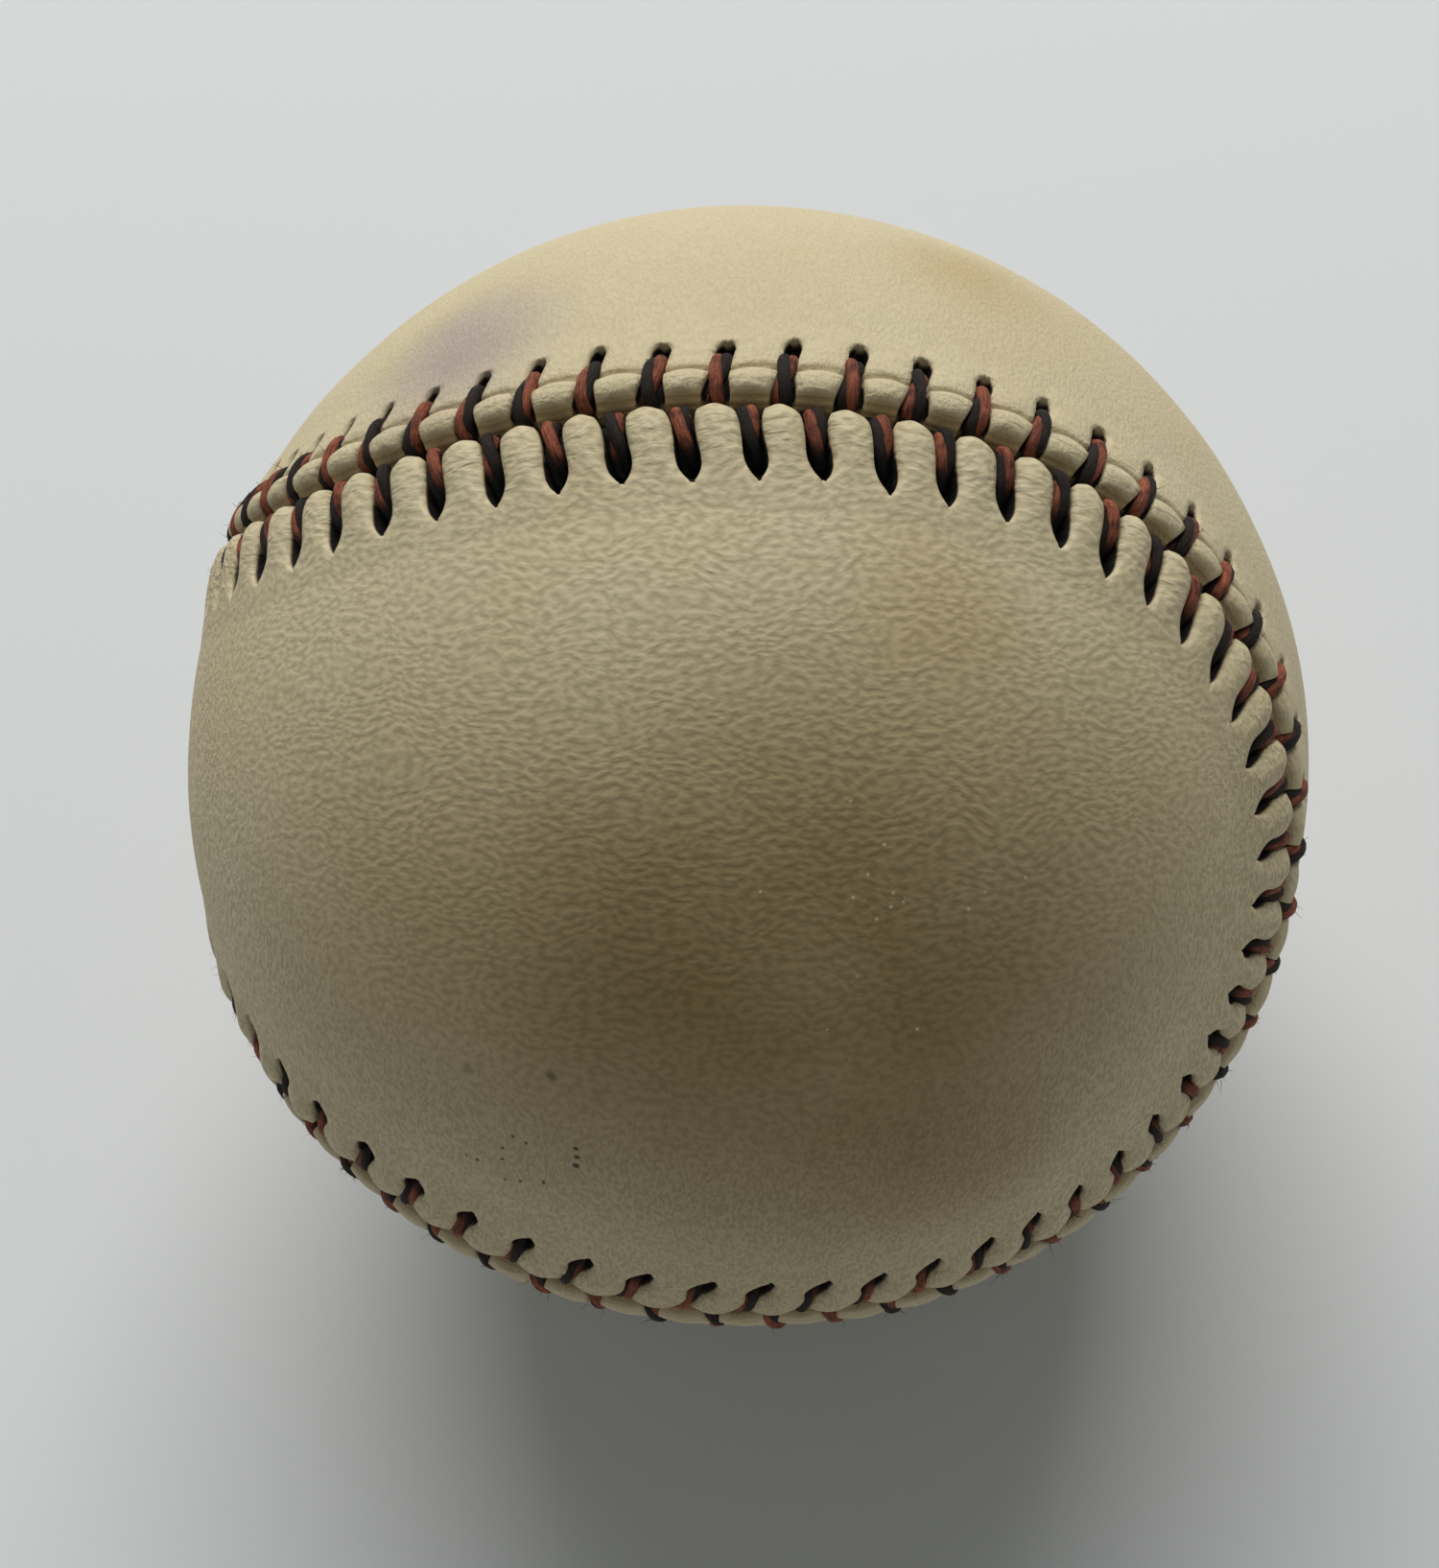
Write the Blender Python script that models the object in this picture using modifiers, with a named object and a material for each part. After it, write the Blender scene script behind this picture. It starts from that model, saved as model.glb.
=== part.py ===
"""Baseball: a cushioned cork pill, four yarn windings and a two-piece leather cover laced along its seam.

The frame's origin is the ball's centre. X is the seam's four-fold axis, which passes through the middle of
both panels' waists, and the seam crosses the Y and Z axes. Lengths are in metres.
"""

import math

import bmesh
import bpy
import numpy as np
from mathutils import Vector
from mathutils.kdtree import KDTree

MM = 0.001

# Pill: a cork ball in two black half shells with a washer at their joint, then two red half shells
CORE_DIAMETER = 20.6 * MM
BLACK_RUBBER_WALL = 3.8 * MM
RED_RUBBER_WALL = 2.2 * MM
WASHER_THICKNESS = 1.2 * MM

# Windings, from the pill outwards
FIRST_GRAY_WOOL = 13.8 * MM
WHITE_WOOL = 1.57 * MM
SECOND_GRAY_WOOL = 2.0 * MM
WHITE_COTTON = 0.6 * MM
YARN_EYE_DIAMETER = 2.0 * MM

# Cover and lacing. The insets are measured along the cover from the middle of the seam
COVER_WALL = 1.27 * MM
GROOVE_WALL = 0.5 * MM
STITCH_COUNT = 120
SEAM_WAVE = 0.345
SEAM_GAP = 0.3 * MM
HOLE_INSET = 3.9 * MM
FOOT_INSET = 6.6 * MM
STITCH_SLANT = 0.6 * MM
THREAD_DIAMETER = 0.9 * MM

# Clearances between the layers, under the cover's facets and round the thread
LAYER_GAP = 0.2 * MM
COVER_GAP = 0.5 * MM
THREAD_CLEARANCE = 0.15 * MM

# Facets
ROUND_STEPS = 12
SEAM_SAMPLES = 2880
FIELD_COLUMNS = 28
FIELD_ROWS = 8
FIELD_RELAXING = 40

# Radii of the layers, each on the one inside it
core_radius = CORE_DIAMETER / 2
black_radius = core_radius + LAYER_GAP + BLACK_RUBBER_WALL
pill_radius = black_radius + LAYER_GAP + RED_RUBBER_WALL
first_gray_radius = pill_radius + LAYER_GAP + FIRST_GRAY_WOOL
white_radius = first_gray_radius + LAYER_GAP + WHITE_WOOL
second_gray_radius = white_radius + LAYER_GAP + SECOND_GRAY_WOOL
wound_radius = second_gray_radius + LAYER_GAP + WHITE_COTTON
lining_radius = wound_radius + COVER_GAP
ball_radius = lining_radius + COVER_WALL

# The thread runs under the cover's raised edge, up a hole, along a groove and down into the seam
thread_radius = THREAD_DIAMETER / 2
under_radius = wound_radius + THREAD_CLEARANCE + thread_radius
roof_radius = under_radius + thread_radius + THREAD_CLEARANCE
groove_radius = roof_radius + GROOVE_WALL
tongue_radius = roof_radius + COVER_WALL
stitch_radius = groove_radius + THREAD_CLEARANCE + thread_radius
tongue_inset = SEAM_GAP / 2
dive_inset = thread_radius + THREAD_CLEARANCE - tongue_inset
notch_inset = dive_inset + thread_radius + THREAD_CLEARANCE
hole_reach = math.sqrt(2) * (thread_radius + THREAD_CLEARANCE)

FRONT, BACK = 1, -1
RIGHT, LEFT = 1, -1


def clear_scene():
    for obj in list(bpy.data.objects):
        bpy.data.objects.remove(obj)


def linear(channel):
    return channel / 12.92 if channel <= 0.04045 else ((channel + 0.055) / 1.055) ** 2.4


def material(name, hex_colour, roughness):
    made = bpy.data.materials.new(name)
    made.use_nodes = True
    shader = made.node_tree.nodes["Principled BSDF"]
    channels = [int(hex_colour[i : i + 2], 16) / 255 for i in (1, 3, 5)]
    shader.inputs["Base Color"].default_value = (*map(linear, channels), 1)
    shader.inputs["Roughness"].default_value = roughness
    shader.inputs["Metallic"].default_value = 0
    return made


def place(name, data, finish):
    """A named object in the ball's collection, carried by the ball's centre."""
    obj = bpy.data.objects.new(name, data)
    obj.parent = centre
    data.materials.append(finish)
    ball.objects.link(obj)
    return obj


def arc(radius, angles):
    """Points of a circle about the origin in the XZ plane, by their angle from +Z."""
    return [(radius * math.sin(a), 0, radius * math.cos(a)) for a in angles]


def turned(name, profile, finish, facing=RIGHT):
    """A solid turned about X, from a profile about Z that runs down its outer side."""
    mesh = bpy.data.meshes.new(name)
    mesh.from_pydata(profile, [(i, i + 1) for i in range(len(profile) - 1)], [])
    obj = place(name, mesh, finish)
    obj.rotation_euler.y = facing * math.pi / 2
    screw = obj.modifiers.new("turn", "SCREW")
    screw.steps = screw.render_steps = ROUND_STEPS
    screw.use_merge_vertices = True
    screw.merge_threshold = 1e-5


def half_shells(name, inner, outer, rim_height, finish):
    """Two bowls, rim to rim, with their rims at rim_height on each side of the middle plane."""
    angles = np.linspace(0, math.pi / 2, ROUND_STEPS // 4 + 1)[:-1]
    outer_side = arc(outer, [*angles, math.acos(rim_height / outer)])
    inner_side = arc(inner, [*angles, math.acos(rim_height / inner)])
    profile = outer_side + inner_side[::-1]
    turned(f"{name}_right", profile, finish, RIGHT)
    turned(f"{name}_left", profile, finish, LEFT)


def winding(name, inner, outer, finish):
    """A wound yarn layer, open at the eye where its yarn comes through to the next layer."""
    angles = np.linspace(0, math.pi, ROUND_STEPS // 2 + 1)[1:]
    eye = YARN_EYE_DIAMETER / 2
    inner_side = arc(inner, [math.asin(eye / inner), *angles])
    outer_side = arc(outer, [math.asin(eye / outer), *angles])
    turned(name, inner_side[::-1] + outer_side, finish)


def seam_direction(turn):
    """The seam's curve on the unit sphere, once round for a turn of two pi."""
    swing = 1 - SEAM_WAVE
    height = 2 * math.sqrt(SEAM_WAVE * swing)
    return np.array((
        -height * np.sin(2 * turn),
        swing * np.sin(turn) - SEAM_WAVE * np.sin(3 * turn),
        swing * np.cos(turn) + SEAM_WAVE * np.cos(3 * turn),
    ))


def seam_heading(turn):
    step = math.pi / SEAM_SAMPLES
    return seam_direction(turn + step) - seam_direction(turn - step)


def on_cover(along, inset, radius):
    """The point at a length along the seam, set off to the front panel's side (inset > 0) or the back's."""
    turn = np.interp(along % seam_length, seam_lengths, seam_turns)
    outward = Vector(seam_direction(turn))
    inward = outward.cross(Vector(seam_heading(turn))).normalized()
    angle = inset / ball_radius
    return radius * (outward * math.cos(angle) + inward * math.sin(angle))


def stitch_point(stitch, side, inset, radius):
    """A point on the line of a stitch, which leans back along the seam as it leaves it."""
    along = stitch * stitch_pitch - STITCH_SLANT * inset / HOLE_INSET
    return on_cover(along, side * inset, radius)


def closed_loop(bm, points):
    verts = [bm.verts.new(p) for p in points]
    edges = [bm.edges.new((verts[i - 1], verts[i])) for i in range(len(verts))]
    return verts, edges


def panel_field(bm, side):
    """The smooth middle of a panel: a grid drawn out from lobe to lobe inside the lacing."""
    long, wide = FIELD_COLUMNS, FIELD_ROWS
    cell = seam_length / (2 * (long + wide))
    lobe_end = -side * seam_length / 8

    def rim(cells):
        return on_cover(lobe_end + cells * cell, side * FOOT_INSET, ball_radius)

    grid = bmesh.ops.create_grid(bm, x_segments=long, y_segments=wide, size=1)["verts"]
    for vert in grid:
        i = round((vert.co.x + 1) / 2 * long)
        j = round((vert.co.y + 1) / 2 * wide)
        if i == 0:
            vert.co = rim(wide / 2 - j)
        elif i == long:
            vert.co = rim(wide / 2 + long + j)
        else:
            vert.co = ball_radius * rim(wide / 2 + i).slerp(rim(-wide / 2 - i), j / wide)
    inside = [v for v in grid if not v.is_boundary]
    for _ in range(FIELD_RELAXING):
        bmesh.ops.smooth_vert(bm, verts=inside, factor=0.5, use_axis_x=True, use_axis_y=True, use_axis_z=True)
        for vert in inside:
            vert.co = vert.co.normalized() * ball_radius
    return [e for e in bm.edges if e.is_boundary]


def lining_at(point):
    """Radius of the cover's underside: lifted over the thread's run, and down on the winding elsewhere."""
    chord = seam_tree.find(point.normalized() * ball_radius)[2]
    inset = 2 * ball_radius * math.asin(chord / 2 / ball_radius)
    lifted = HOLE_INSET + hole_reach
    slope = (inset - lifted) / (FOOT_INSET - lifted)
    return roof_radius + (lining_radius - roof_radius) * min(max(slope, 0), 1)


def cover_panel(name, side, finish):
    """One figure-eight panel: its lacing rows have a groove at each stitch and a tongue between two."""
    bm = bmesh.new()
    edges = panel_field(bm, side)
    rows = (
        (HOLE_INSET, groove_radius, HOLE_INSET, tongue_radius),
        (notch_inset, groove_radius, tongue_inset, tongue_radius),
    )
    phase = 0 if side == FRONT else 1
    holes = []
    for row, (groove_at, groove_top, tongue_at, tongue_top) in enumerate(rows):
        points = []
        for half in range(2 * STITCH_COUNT):
            if half % 2 == phase:
                points.append(stitch_point(half / 2, side, groove_at, groove_top))
            else:
                points.append(stitch_point(half / 2, side, tongue_at, tongue_top))
        verts, loop = closed_loop(bm, points)
        bmesh.ops.bridge_loops(bm, edges=edges + loop)
        edges = loop
        if row == 0:
            holes = verts[phase::2]
    punched = bmesh.ops.bevel(bm, geom=holes, offset=hole_reach, segments=1, profile=0.5, affect="VERTICES")
    bmesh.ops.delete(bm, geom=punched["faces"], context="FACES_ONLY")
    underside = bmesh.ops.extrude_face_region(bm, geom=bm.faces[:])["geom"]
    for vert in underside:
        if isinstance(vert, bmesh.types.BMVert):
            vert.co = vert.co.normalized() * lining_at(vert.co)
    bmesh.ops.recalc_face_normals(bm, faces=bm.faces[:])
    mesh = bpy.data.meshes.new(name)
    bm.to_mesh(mesh)
    bm.free()
    return place(name, mesh, finish)


def lacing_thread(name, finish):
    """One thread that goes up each hole in turn, over the panel's edge and down under the other panel."""
    route = []
    for half in range(2 * STITCH_COUNT):
        side = FRONT if half % 2 == 0 else BACK
        route.append(stitch_point(half / 2, side, HOLE_INSET, under_radius))
        route.append(stitch_point(half / 2, side, HOLE_INSET, stitch_radius))
        route.append(stitch_point(half / 2, side, dive_inset, stitch_radius))
        route.append(stitch_point(half / 2, side, dive_inset, under_radius))
    tail = (route[-1] + route[0]) / 2
    route.append(tail.normalized() * under_radius)
    curve = bpy.data.curves.new(name, "CURVE")
    curve.dimensions = "3D"
    curve.bevel_depth = thread_radius
    curve.bevel_resolution = 0
    curve.use_fill_caps = True
    spline = curve.splines.new("POLY")
    spline.points.add(len(route) - 1)
    for point, at in zip(spline.points, route):
        point.co = (*at, 1)
    place(name, curve, finish)
    return sum((b - a).length for a, b in zip(route, route[1:]))


clear_scene()
ball = bpy.data.collections.new("baseball")
bpy.context.scene.collection.children.link(ball)
centre = bpy.data.objects.new("baseball_centre", None)
ball.objects.link(centre)

seam_turns = np.linspace(0, 2 * math.pi, SEAM_SAMPLES + 1)
seam_points = seam_direction(seam_turns).T * ball_radius
seam_steps = np.linalg.norm(np.diff(seam_points, axis=0), axis=1)
seam_lengths = np.concatenate(([0], np.cumsum(seam_steps)))
seam_length = seam_lengths[-1]
stitch_pitch = seam_length / STITCH_COUNT
seam_tree = KDTree(len(seam_points))
for index, seam_point in enumerate(seam_points):
    seam_tree.insert(seam_point, index)
seam_tree.balance()

cork = material("cork", "#a9805a", 0.9)
black_rubber = material("black_rubber", "#262524", 0.7)
red_rubber = material("red_rubber", "#9c3a2f", 0.65)
gray_wool = material("gray_wool", "#8d8b88", 0.95)
white_wool = material("white_wool", "#e3ddcd", 0.95)
white_cotton = material("white_cotton", "#efe9da", 0.9)
leather = material("leather", "#c8bb98", 0.6)
waxed_thread = material("waxed_thread", "#6d3a2b", 0.7)

turned("cork_core", arc(core_radius, np.linspace(0, math.pi, ROUND_STEPS // 2 + 1)), cork)
black_rim = WASHER_THICKNESS / 2 + LAYER_GAP
half_shells("pill_black_shell", core_radius + LAYER_GAP, black_radius, black_rim, black_rubber)
half_shells("pill_red_shell", black_radius + LAYER_GAP, pill_radius, LAYER_GAP / 2, red_rubber)
washer_inner = core_radius + LAYER_GAP
washer_top = WASHER_THICKNESS / 2
washer_profile = [
    (washer_inner, 0, -washer_top),
    (washer_inner, 0, washer_top),
    (black_radius, 0, washer_top),
    (black_radius, 0, -washer_top),
    (washer_inner, 0, -washer_top),
]
turned("pill_washer", washer_profile, red_rubber)

winding("winding_first_gray_wool", pill_radius + LAYER_GAP, first_gray_radius, gray_wool)
winding("winding_white_wool", first_gray_radius + LAYER_GAP, white_radius, white_wool)
winding("winding_second_gray_wool", white_radius + LAYER_GAP, second_gray_radius, gray_wool)
winding("winding_white_cotton", second_gray_radius + LAYER_GAP, wound_radius, white_cotton)

cover_panel("cover_panel_front", FRONT, leather)
cover_panel("cover_panel_back", BACK, leather)
thread_length = lacing_thread("lacing_thread", waxed_thread)

print(f"circumference {2 * math.pi * ball_radius / MM:.1f} mm, seam {seam_length / MM:.1f} mm")
print(f"stitch pitch {stitch_pitch / MM:.2f} mm, thread {thread_length / MM:.0f} mm")
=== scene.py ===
"""Looks of an old laced baseball: two leather panels, a red and black lacing thread and the layers inside."""

import math

import bmesh
import bpy
import numpy as np
from mathutils import Matrix, Vector, noise


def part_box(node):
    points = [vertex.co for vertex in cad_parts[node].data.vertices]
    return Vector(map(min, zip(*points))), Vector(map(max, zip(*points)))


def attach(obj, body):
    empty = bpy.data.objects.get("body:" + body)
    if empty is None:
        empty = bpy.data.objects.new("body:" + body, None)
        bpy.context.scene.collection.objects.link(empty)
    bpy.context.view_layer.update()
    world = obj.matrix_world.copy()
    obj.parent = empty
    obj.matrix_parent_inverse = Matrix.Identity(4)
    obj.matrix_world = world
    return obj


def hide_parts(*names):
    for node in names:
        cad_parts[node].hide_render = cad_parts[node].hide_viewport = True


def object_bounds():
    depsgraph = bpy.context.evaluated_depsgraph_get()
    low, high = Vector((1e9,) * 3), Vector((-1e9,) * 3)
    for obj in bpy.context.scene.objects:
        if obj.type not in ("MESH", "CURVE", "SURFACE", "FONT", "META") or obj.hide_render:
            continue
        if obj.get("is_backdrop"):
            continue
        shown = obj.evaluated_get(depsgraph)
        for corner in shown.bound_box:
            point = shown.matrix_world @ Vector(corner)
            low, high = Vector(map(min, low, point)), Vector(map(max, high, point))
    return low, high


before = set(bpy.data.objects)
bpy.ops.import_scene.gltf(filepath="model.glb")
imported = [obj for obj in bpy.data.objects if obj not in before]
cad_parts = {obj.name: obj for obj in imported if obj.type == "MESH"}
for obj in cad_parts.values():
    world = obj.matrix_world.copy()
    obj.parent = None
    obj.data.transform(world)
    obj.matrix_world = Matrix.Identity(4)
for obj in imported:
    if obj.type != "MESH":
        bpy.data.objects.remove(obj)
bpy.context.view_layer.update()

# Lengths below are millimetres, and points closer together than a tolerance count as one
MM = 0.001
TOLERANCE, FINE_TOLERANCE = 0.01, 0.001
BODY = "root"
FRONT, BACK = 1, -1

# The seam as in the solids, how finely it is measured and the step that gives its direction, and the cover's
# height and its underside's gap over the outer winding
SEAM_WAVE = 0.345
SEAM_PARTS = 4320
SEAM_NUDGE = 1e-4
STITCHES = 120
STITCH_SLANT = 0.15
COVER_HEIGHT = 1.77
LINING_GAP = 0.05
WOUND_RADIUS = max(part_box("winding_white_cotton")[1]) / MM
BALL_RADIUS = WOUND_RADIUS + COVER_HEIGHT
UNDERSIDE = LINING_GAP - COVER_HEIGHT

# The cover's unevenness over the windings: the height and width of its swells and of its dents
SWELL_HEIGHT, SWELL_WIDTH = 0.12, 17
DENT_HEIGHT, DENT_WIDTH = 0.035, 5

# The slackly laced stretch: its middle, how many stitches it reaches to each side, how far its slots lean,
# and by what share they close, with the distances from the seam where that starts, is full, fades and ends
SLACK_AT, SLACK_REACH = 93, 20
SLACK_LEAN = 0.5
SLACK_CLOSING = 0.5
CLOSING_SPAN = (0, 1.2, 2, 3.2)

# How far each stitch may differ from the next: the share of its slot's width, its shift along the seam, its
# tongues' lift, full up to the distance given, and its hole's reach, with distances as those above
STITCH_CHANCES = (0.14, 0.14, 0.08, 0.2)
LIFT_FULL = 2.6
HOLE_SPAN = (1.5, 3.5, 5.2, 6.4)

# The lacing band round each panel: faces across a stitch, shares of a stitch where a slot's floor ends and
# its wall meets the tongue, the wall's lean and the most it takes of the slot's half width, the depths at
# which dirt and painted shade start and are full, a distance past every cut edge, and the band's reach
STITCH_FACES = 18
SLOT_FLOOR, SLOT_WALL = 2 / 9, 5 / 9
WALL_LEAN, WALL_LEAN_SHARE = 0.14, 0.3
SHADE_AND_SOIL_DEPTHS = (0.12, 0.47)
PAST_CUT = 3
BAND_REACH = 6.6

# The smooth field inside the band, and the lining under it
FIELD_REACH = 7.1
FIELD_COLUMNS, FIELD_ROWS = 28, 8
FIELD_CUTS, LINING_CUTS = 7, 2
FIELD_RELAXING = 40

# How finely a lip's lines are drawn, and how far their corners are rounded
LINE_FROM, LINE_TO, LINE_STEP = -2, 9, 0.01
CORNER_ROUNDING, SLOT_ROUNDING = 0.3, 0.14

# Each lip by its distance from the seam: the crest of its tongues over the ball, how far a tongue's sides sag
# below that crest and its slots sink below the sides, the half width of a slot, and the cut edge down to the
# underside. Phase is the place of its slots in stitches, and arch is how far its rim draws back at a slot
FRONT_LIP = {
    "phase": 0,
    "arch": 0,
    "rows": np.r_[np.linspace(6.6, 5.5, 4), np.linspace(5.25, 4.1, 10), np.linspace(3.8, 1.7, 7),
                  np.linspace(1.4, 0.1, 7)],
    "crest": ((0.1, 0.02), (0.25, 0.3), (0.5, 0.54), (1.0, 0.74), (1.6, 0.74), (2.6, 0.62), (3.6, 0.46),
              (4.8, 0.22), (6.6, 0)),
    "sag": ((0.1, 0.32), (2.4, 0.38), (3.4, 0.34), (4.3, 0.16), (4.9, 0.04), (5.5, 0)),
    "depth": ((0.1, 1.0), (0.7, 1.0), (1.6, 0.95), (2.3, 1.15), (2.8, 1.55), (4.65, 1.8), (4.98, 0)),
    "slot": ((0.1, 1.45), (0.3, 1.14), (0.6, 0.92), (1.0, 0.78), (1.5, 0.7), (2.4, 0.7), (3.2, 0.76),
             (3.8, 0.73), (4.2, 0.61), (4.5, 0.46), (4.75, 0.28), (4.95, 0.1), (5.3, 0.2), (6.6, 0.5)),
    "cut": ((0.05, -0.4), (0.1, -0.8), (0.15, -1.2), (0.2, -1.5), (0.2, UNDERSIDE)),
}
BACK_LIP = {
    "phase": 0.5,
    "arch": 0.55,
    "rows": np.r_[np.linspace(6.6, 5.3, 4), np.linspace(5.04, 4.64, 6), np.linspace(4.4, 2.8, 7),
                  np.linspace(2.65, 1.75, 8), np.linspace(1.5, 0.7, 6)],
    "crest": ((0.7, 0.5), (0.85, 0.64), (1.1, 0.75), (1.45, 0.79), (1.8, 0.73), (2.1, 0.56), (2.35, 0.3),
              (2.5, -0.14), (2.7, 0.34), (3.8, 0.28), (4.7, 0.16), (6.6, 0)),
    "sag": ((0.7, 0.29), (1.2, 0.18), (2.9, 0.1), (3.6, 0.12), (4.3, 0.07), (5, 0)),
    "depth": ((0.7, 0.9), (1.2, 0.6), (1.8, 0.35), (2.9, 0.3), (3.4, 0.55), (3.8, 1.4), (4.74, 1.5),
              (4.88, 0)),
    "slot": ((0.7, 0.8), (1.1, 0.68), (1.6, 0.58), (2.8, 0.5), (3.6, 0.5), (4.2, 0.54), (4.5, 0.48),
             (4.7, 0.34), (4.9, 0.16), (5.3, 0.3), (6.6, 0.5)),
    "cut": ((0.58, 0.34), (0.44, 0.1), (0.3, -0.3), (0.2, -1.0), (0.15, UNDERSIDE)),
}

# The thread's route from each hole over the lip into the seam and on under the other lip: distance from the
# seam, height over the ball
FRONT_RUN = ((3.3, -1.45), (2.95, -0.95), (2.35, -0.3), (1.65, 0.02), (0.95, 0.1), (0.45, -0.15),
             (0.25, -0.95))
BACK_RUN = ((3.85, -1.2), (3.65, -0.6), (3.2, 0.02), (2.4, 0.28), (1.45, 0.3), (0.75, 0.02), (0.3, -0.9))
UNDER_RUN = (-2.0, -1.4)
ROUTE_STEPS = 3

# Each of its plies: radius, distance from the thread's middle and the share of it upwards, the length of one
# turn round the other ply, sides, and the depths in the ball at which dirt and painted shade start and are
# full
PLY_RADIUS = 0.375
PLY_SPREAD = 0.21
PLY_FLATNESS = 0.6
PLY_LAY = 7.2
PLY_SIDES = 10
PLY_SHADE_AND_SOIL_DEPTHS = (0.05, 0.65)

# Fibres frayed from the thread where it lies no deeper than this: shortest and longest, how steeply they
# rise and how much they curl, where they leave the thread, to its side and upwards, and their width at the
# tip as a share
FIBRE_DEPTH = 0.1
FIBRE_RADIUS = 0.02
FIBRE_POINTS = 5
FIBRE_LENGTHS = (0.15, 0.5)
FIBRE_RISE, FIBRE_CURL = 0.7, 0.8
FIBRE_ROOT = (0.45, 0.4)
FIBRE_TIP = 0.2

# The pill: steps of its turned pieces, the rounding of their rims, the gap between layers, and the cork's
# fineness, the size of its granules and the share by which they stand back
TURN_STEPS = 64
RIM_ROUNDING = 0.2
LAYER_GAP = 0.2
CORK_FINENESS = 6
CORK_GRANULE = 1.6
CORK_UNEVENNESS = 0.008

# The windings: points and turning of each loop of yarn, its sides, and in yarn thicknesses how far the first
# loops lie below the last and the ball of yarn below them all
LOOP_POINTS = 40
LOOP_TURN = math.radians(21)
YARN_SIDES = 6
YARN_SETTLING = 0.25
YARN_BED = 0.8
BED_FINENESS = 5

# The photograph's camera: place and aim, roll in degrees, and sizes in the photograph's pixels
CAMERA_AT = (25.4, -67.35, 116.97)
CAMERA_AIM = (-1.59, -1.38, -0.41)
CAMERA_ROLL = 11.8
FOCAL_PIXELS = 2073.6
PHOTO_WIDTH, PHOTO_HEIGHT = 1500, 1635
SENSOR_WIDTH = 36.0

# The grain of the leather: where the photograph shows the wrinkled side, the size of the patches that pull
# the grain aside and how far they do, and the size, stretch and depth of the wrinkles and of the pebble
WRINKLED_AT = (740, 580)
DRIFT_SIZE, DRIFT = 4.5, 1.5
WRINKLE_SIZE, WRINKLE_STRETCH, WRINKLE_DEPTH = 0.37, 0.64, 0.09
PEBBLE_SIZE, PEBBLE_STRETCH, PEBBLE_DEPTH = 0.2, 0.45, 0.11

# Gathers across the tongues: length along the seam, spacing, height, and the distances from the seam where
# they end and where they are full
GATHER_LENGTH, GATHER_SPACING, GATHER_HEIGHT = 1.5, 0.6, 0.17
GATHER_END, GATHER_FULL = 5.2, 2.5

# Sizes in the colour of the leather: uneven yellowing, patches in stains, and layers on the cut edge
YELLOWING_SIZE = 12
PATCH_SIZE = 9
HIDE_LAYER = 0.22

# Stains on the leather, some of them partly painted shade over the front: the photograph's pixel, the radii
# where each is full and where it ends, its strength, and the colour that it multiplies
STAINS_AND_SHADE = (
    # The first three darken the middle of the front: partly dirt, partly painted shade of a cast shadow
    ((855, 1065), 4, 26, 0.95, "#af9c74"),
    ((830, 820), 0, 11, 0.4, "#c0aa80"),
    ((620, 965), 0, 9, 0.3, "#c0ad82"),
    ((1150, 900), 2, 17, 0.24, "#bfb08a"),
    ((980, 640), 0, 8, 0.4, "#d2bd92"),
    ((450, 1000), 2, 20, 0.5, "#c8b58f"),
    ((1010, 285), 0, 8, 0.5, "#dcc297"),
    ((1000, 1215), 1, 8, 0.4, "#c9a988"),
    ((480, 362), 0, 9, 0.5, "#8f78ee"),
    ((575, 1122), 0.1, 0.45, 0.7, "#5a4526"),
    ((488, 1115), 0.1, 0.5, 0.5, "#5a4a2c"),
    ((600, 1198), 0.12, 0.2, 1, "#3a211c"),
    ((601, 1207), 0.12, 0.2, 1, "#3a211c"),
    ((600, 1216), 0.16, 0.25, 1, "#22140f"),
)

# Dark specks and flecks of scuffed skin: pixel, how far they spread, their size, the share of them at the
# middle, and their colour
FLECKS = (
    ((530, 1210), 5, 0.2, 0.6, "#5d3a30"),
    ((930, 950), 9, 0.16, 0.22, "#cfc39d"),
)

# Strands drawn on a yarn, coarser than its fibres so that they show: how many go round it, and their twist
STRANDS_ROUND = 15
STRAND_TWIST = 0.4

# The studio: the floor's half side and its gap under the ball, the window's place, size and power, and the
# room's strength as light and as what is seen or mirrored
FLOOR_HALF, FLOOR_GAP = 1500, 0.02
WINDOW_AT = (-210, 960, 1200)
WINDOW_WIDTH, WINDOW_HEIGHT = 1350, 900
WINDOW_POWER = 24.5
ROOM_LIGHT, ROOM_SEEN = 0.228, 0.8


def seam_direction(turn):
    """The seam on the unit sphere, once round for a turn of two pi."""
    swing = 1 - SEAM_WAVE
    height = 2 * math.sqrt(SEAM_WAVE * swing)
    return np.stack((
        -height * np.sin(2 * turn),
        swing * np.sin(turn) - SEAM_WAVE * np.sin(3 * turn),
        swing * np.cos(turn) + SEAM_WAVE * np.cos(3 * turn),
    ), axis=-1)


def length_along(points):
    """The length of a line up to each of its points."""
    return np.concatenate(([0], np.cumsum(np.linalg.norm(np.diff(points, axis=0), axis=1))))


SEAM_TURNS = np.linspace(0, 2 * math.pi, SEAM_PARTS + 1)
SEAM_ALONG = length_along(seam_direction(SEAM_TURNS)) * BALL_RADIUS
SEAM_LENGTH = SEAM_ALONG[-1]
PITCH = SEAM_LENGTH / STITCHES


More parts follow.
